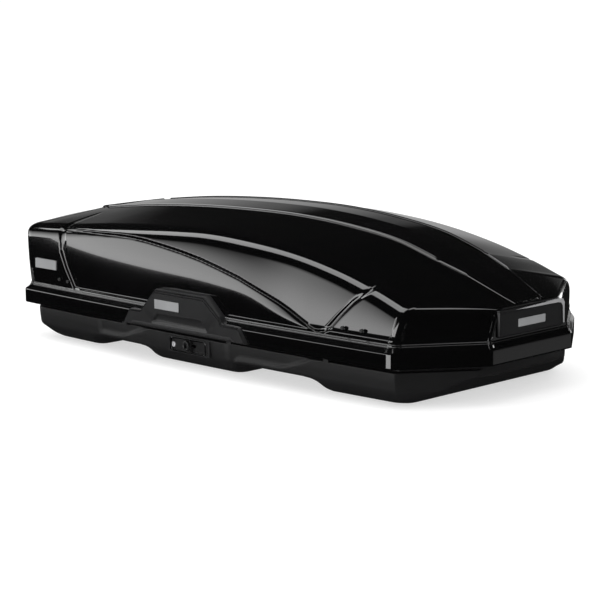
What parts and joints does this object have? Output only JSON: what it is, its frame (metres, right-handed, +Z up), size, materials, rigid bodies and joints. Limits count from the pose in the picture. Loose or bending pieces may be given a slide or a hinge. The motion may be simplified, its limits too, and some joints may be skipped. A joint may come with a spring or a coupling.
{
  "type": "roof cargo box",
  "caption": "Gloss roof cargo box with tapered nose, matte base, lid that opens from either side, slide latches, lid lifters and crossbar clamps with hooked claws.",
  "frame": {"origin": "under the middle of the overall length and width, on the plane the base stands on", "axes": "+X forward to the tapered nose, +Y to the left of the vehicle, +Z up"},
  "size_m": [1.7836, 0.886, 0.46],
  "materials": {
    "gloss_black_shell": "gloss",
    "matte_black_shell": "grained matte",
    "black_rubber": "matte",
    "zinc_steel": "zinc plated",
    "black_steel": "satin black",
    "bright_metal": "polished",
    "badge_plate": "brushed",
    "webbing": "woven",
    "nylon": "natural",
    "coated_claw": "rubber coated",
    "black_plastic": "satin"
  },
  "bodies": {
    "base": {"base_shell": "matte_black_shell", "rim_seal": "black_rubber", "left_reinforcement_rail": "zinc_steel", "right_reinforcement_rail": "zinc_steel", "rail_bolts": "zinc_steel", "crossbar_seats": "black_rubber", "load_straps": "webbing", "strap_buckles": "black_plastic", "left_hinge_saddles": "black_plastic", "right_hinge_saddles": "black_plastic", "left_lock_housing": "black_plastic", "right_lock_housing": "black_plastic", "left_lifter_brackets": "zinc_steel", "right_lifter_brackets": "zinc_steel", "left_lifter_springs": "zinc_steel", "right_lifter_springs": "zinc_steel"},
    "left_hinge": {"left_hinge_bushes": "nylon"},
    "right_hinge": {"right_hinge_bushes": "nylon"},
    "lid": {"lid_shell": "gloss_black_shell", "rear_lid_rib": "zinc_steel", "front_lid_rib": "zinc_steel", "handle_badges": "badge_plate", "tail_badges": "badge_plate", "nose_badge_plate": "badge_plate", "nose_badge_frame": "bright_metal", "lid_screws": "zinc_steel", "left_hinge_pins": "zinc_steel", "right_hinge_pins": "zinc_steel", "left_pin_brackets": "black_plastic", "right_pin_brackets": "black_plastic", "left_handle": "black_plastic", "right_handle": "black_plastic"},
    "left_latch": {"left_slider": "black_plastic", "left_latch_rod": "zinc_steel"},
    "left_key": {"left_lock_cylinder": "bright_metal"},
    "left_lifter": {"rear_left_lifter_arm": "black_steel", "front_left_lifter_arm": "black_steel", "left_glide_pads": "nylon"},
    "right_latch": {"right_slider": "black_plastic", "right_latch_rod": "zinc_steel"},
    "right_key": {"right_lock_cylinder": "bright_metal"},
    "right_lifter": {"rear_right_lifter_arm": "black_steel", "front_right_lifter_arm": "black_steel", "right_glide_pads": "nylon"},
    "rear_left_carriage": {"rear_left_clamp_carriage": "black_plastic"},
    "rear_left_knob": {"rear_left_clamp_knob": "black_plastic"},
    "rear_left_rear_claw": {"rear_left_clamp_rear_claw": "coated_claw"},
    "rear_left_front_claw": {"rear_left_clamp_front_claw": "coated_claw"},
    "rear_right_carriage": {"rear_right_clamp_carriage": "black_plastic"},
    "rear_right_knob": {"rear_right_clamp_knob": "black_plastic"},
    "rear_right_rear_claw": {"rear_right_clamp_rear_claw": "coated_claw"},
    "rear_right_front_claw": {"rear_right_clamp_front_claw": "coated_claw"},
    "front_left_carriage": {"front_left_clamp_carriage": "black_plastic"},
    "front_left_knob": {"front_left_clamp_knob": "black_plastic"},
    "front_left_rear_claw": {"front_left_clamp_rear_claw": "coated_claw"},
    "front_left_front_claw": {"front_left_clamp_front_claw": "coated_claw"},
    "front_right_carriage": {"front_right_clamp_carriage": "black_plastic"},
    "front_right_knob": {"front_right_clamp_knob": "black_plastic"},
    "front_right_rear_claw": {"front_right_clamp_rear_claw": "coated_claw"},
    "front_right_front_claw": {"front_right_clamp_front_claw": "coated_claw"}
  },
  "joints": [
    {"name": "lid_opens_from_right", "type": "hinge", "parent": "base", "child": "left_hinge", "pos_m": [0.0188, 0.398, 0.121], "axis": [-1, 0, 0], "range_deg": [0, 50]},
    {"name": "lid_opens_from_left", "type": "hinge", "parent": "left_hinge", "child": "lid", "pos_m": [0.0188, -0.398, 0.121], "axis": [1, 0, 0], "range_deg": [0, 50]},
    {"name": "right_bushes_turn", "type": "hinge", "parent": "base", "child": "right_hinge", "pos_m": [0.0188, -0.398, 0.121], "axis": [1, 0, 0], "range_deg": [0, 50]},
    {"name": "left_lifters_swing", "type": "hinge", "parent": "base", "child": "left_lifter", "pos_m": [0.0188, 0.325, 0.15], "axis": [-1, 0, 0], "range_deg": [0, 69.5]},
    {"name": "left_latch_slide", "type": "slide", "parent": "base", "child": "left_latch", "axis": [1, 0, 0], "range_m": [0, 0.04]},
    {"name": "left_key_turn", "type": "hinge", "parent": "left_latch", "child": "left_key", "pos_m": [-0.1532, 0.4, 0.069], "axis": [0, 1, 0], "range_deg": [0, 90]},
    {"name": "right_lifters_swing", "type": "hinge", "parent": "base", "child": "right_lifter", "pos_m": [0.0188, -0.325, 0.15], "axis": [1, 0, 0], "range_deg": [0, 69.5]},
    {"name": "right_latch_slide", "type": "slide", "parent": "base", "child": "right_latch", "axis": [1, 0, 0], "range_m": [0, 0.04]},
    {"name": "right_key_turn", "type": "hinge", "parent": "right_latch", "child": "right_key", "pos_m": [-0.1532, -0.4, 0.069], "axis": [0, 1, 0], "range_deg": [0, 90]},
    {"name": "rear_left_clamp_slide", "type": "slide", "parent": "base", "child": "rear_left_carriage", "axis": [1, 0, 0], "range_m": [-0.012, 0.012]},
    {"name": "rear_left_knob_turn", "type": "hinge", "parent": "rear_left_carriage", "child": "rear_left_knob", "pos_m": [-0.4062, 0.25, 0.06], "axis": [0, 0, 1], "range_deg": [0, 720]},
    {"name": "rear_left_front_claw_swing", "type": "hinge", "parent": "rear_left_carriage", "child": "rear_left_front_claw", "pos_m": [-0.3592, 0.25, 0.028], "axis": [0, 1, 0], "range_deg": [0, 90]},
    {"name": "rear_left_rear_claw_swing", "type": "hinge", "parent": "rear_left_carriage", "child": "rear_left_rear_claw", "pos_m": [-0.4532, 0.25, 0.028], "axis": [0, -1, 0], "range_deg": [0, 90]},
    {"name": "rear_right_clamp_slide", "type": "slide", "parent": "base", "child": "rear_right_carriage", "axis": [1, 0, 0], "range_m": [-0.012, 0.012]},
    {"name": "rear_right_knob_turn", "type": "hinge", "parent": "rear_right_carriage", "child": "rear_right_knob", "pos_m": [-0.4062, -0.25, 0.06], "axis": [0, 0, 1], "range_deg": [0, 720]},
    {"name": "rear_right_front_claw_swing", "type": "hinge", "parent": "rear_right_carriage", "child": "rear_right_front_claw", "pos_m": [-0.3592, -0.25, 0.028], "axis": [0, 1, 0], "range_deg": [0, 90]},
    {"name": "rear_right_rear_claw_swing", "type": "hinge", "parent": "rear_right_carriage", "child": "rear_right_rear_claw", "pos_m": [-0.4532, -0.25, 0.028], "axis": [0, -1, 0], "range_deg": [0, 90]},
    {"name": "front_left_clamp_slide", "type": "slide", "parent": "base", "child": "front_left_carriage", "axis": [1, 0, 0], "range_m": [-0.05, 0.05]},
    {"name": "front_left_knob_turn", "type": "hinge", "parent": "front_left_carriage", "child": "front_left_knob", "pos_m": [0.2538, 0.25, 0.06], "axis": [0, 0, 1], "range_deg": [0, 720]},
    {"name": "front_left_front_claw_swing", "type": "hinge", "parent": "front_left_carriage", "child": "front_left_front_claw", "pos_m": [0.3008, 0.25, 0.028], "axis": [0, 1, 0], "range_deg": [0, 90]},
    {"name": "front_left_rear_claw_swing", "type": "hinge", "parent": "front_left_carriage", "child": "front_left_rear_claw", "pos_m": [0.2068, 0.25, 0.028], "axis": [0, -1, 0], "range_deg": [0, 90]},
    {"name": "front_right_clamp_slide", "type": "slide", "parent": "base", "child": "front_right_carriage", "axis": [1, 0, 0], "range_m": [-0.05, 0.05]},
    {"name": "front_right_knob_turn", "type": "hinge", "parent": "front_right_carriage", "child": "front_right_knob", "pos_m": [0.2538, -0.25, 0.06], "axis": [0, 0, 1], "range_deg": [0, 720]},
    {"name": "front_right_front_claw_swing", "type": "hinge", "parent": "front_right_carriage", "child": "front_right_front_claw", "pos_m": [0.3008, -0.25, 0.028], "axis": [0, 1, 0], "range_deg": [0, 90]},
    {"name": "front_right_rear_claw_swing", "type": "hinge", "parent": "front_right_carriage", "child": "front_right_rear_claw", "pos_m": [0.2068, -0.25, 0.028], "axis": [0, -1, 0], "range_deg": [0, 90]}
  ],
  "couplings": [
    {"joint": "right_bushes_turn", "follows": "lid_opens_from_left", "ratio": 1},
    {"joint": "left_lifters_swing", "follows": "lid_opens_from_right", "ratio": 1.379},
    {"joint": "right_lifters_swing", "follows": "lid_opens_from_left", "ratio": 1.379},
    {"joint": "rear_left_front_claw_swing", "follows": "rear_left_knob_turn", "ratio": 0.125},
    {"joint": "rear_left_rear_claw_swing", "follows": "rear_left_knob_turn", "ratio": 0.125},
    {"joint": "rear_right_front_claw_swing", "follows": "rear_right_knob_turn", "ratio": 0.125},
    {"joint": "rear_right_rear_claw_swing", "follows": "rear_right_knob_turn", "ratio": 0.125},
    {"joint": "front_left_front_claw_swing", "follows": "front_left_knob_turn", "ratio": 0.125},
    {"joint": "front_left_rear_claw_swing", "follows": "front_left_knob_turn", "ratio": 0.125},
    {"joint": "front_right_front_claw_swing", "follows": "front_right_knob_turn", "ratio": 0.125},
    {"joint": "front_right_rear_claw_swing", "follows": "front_right_knob_turn", "ratio": 0.125}
  ]
}
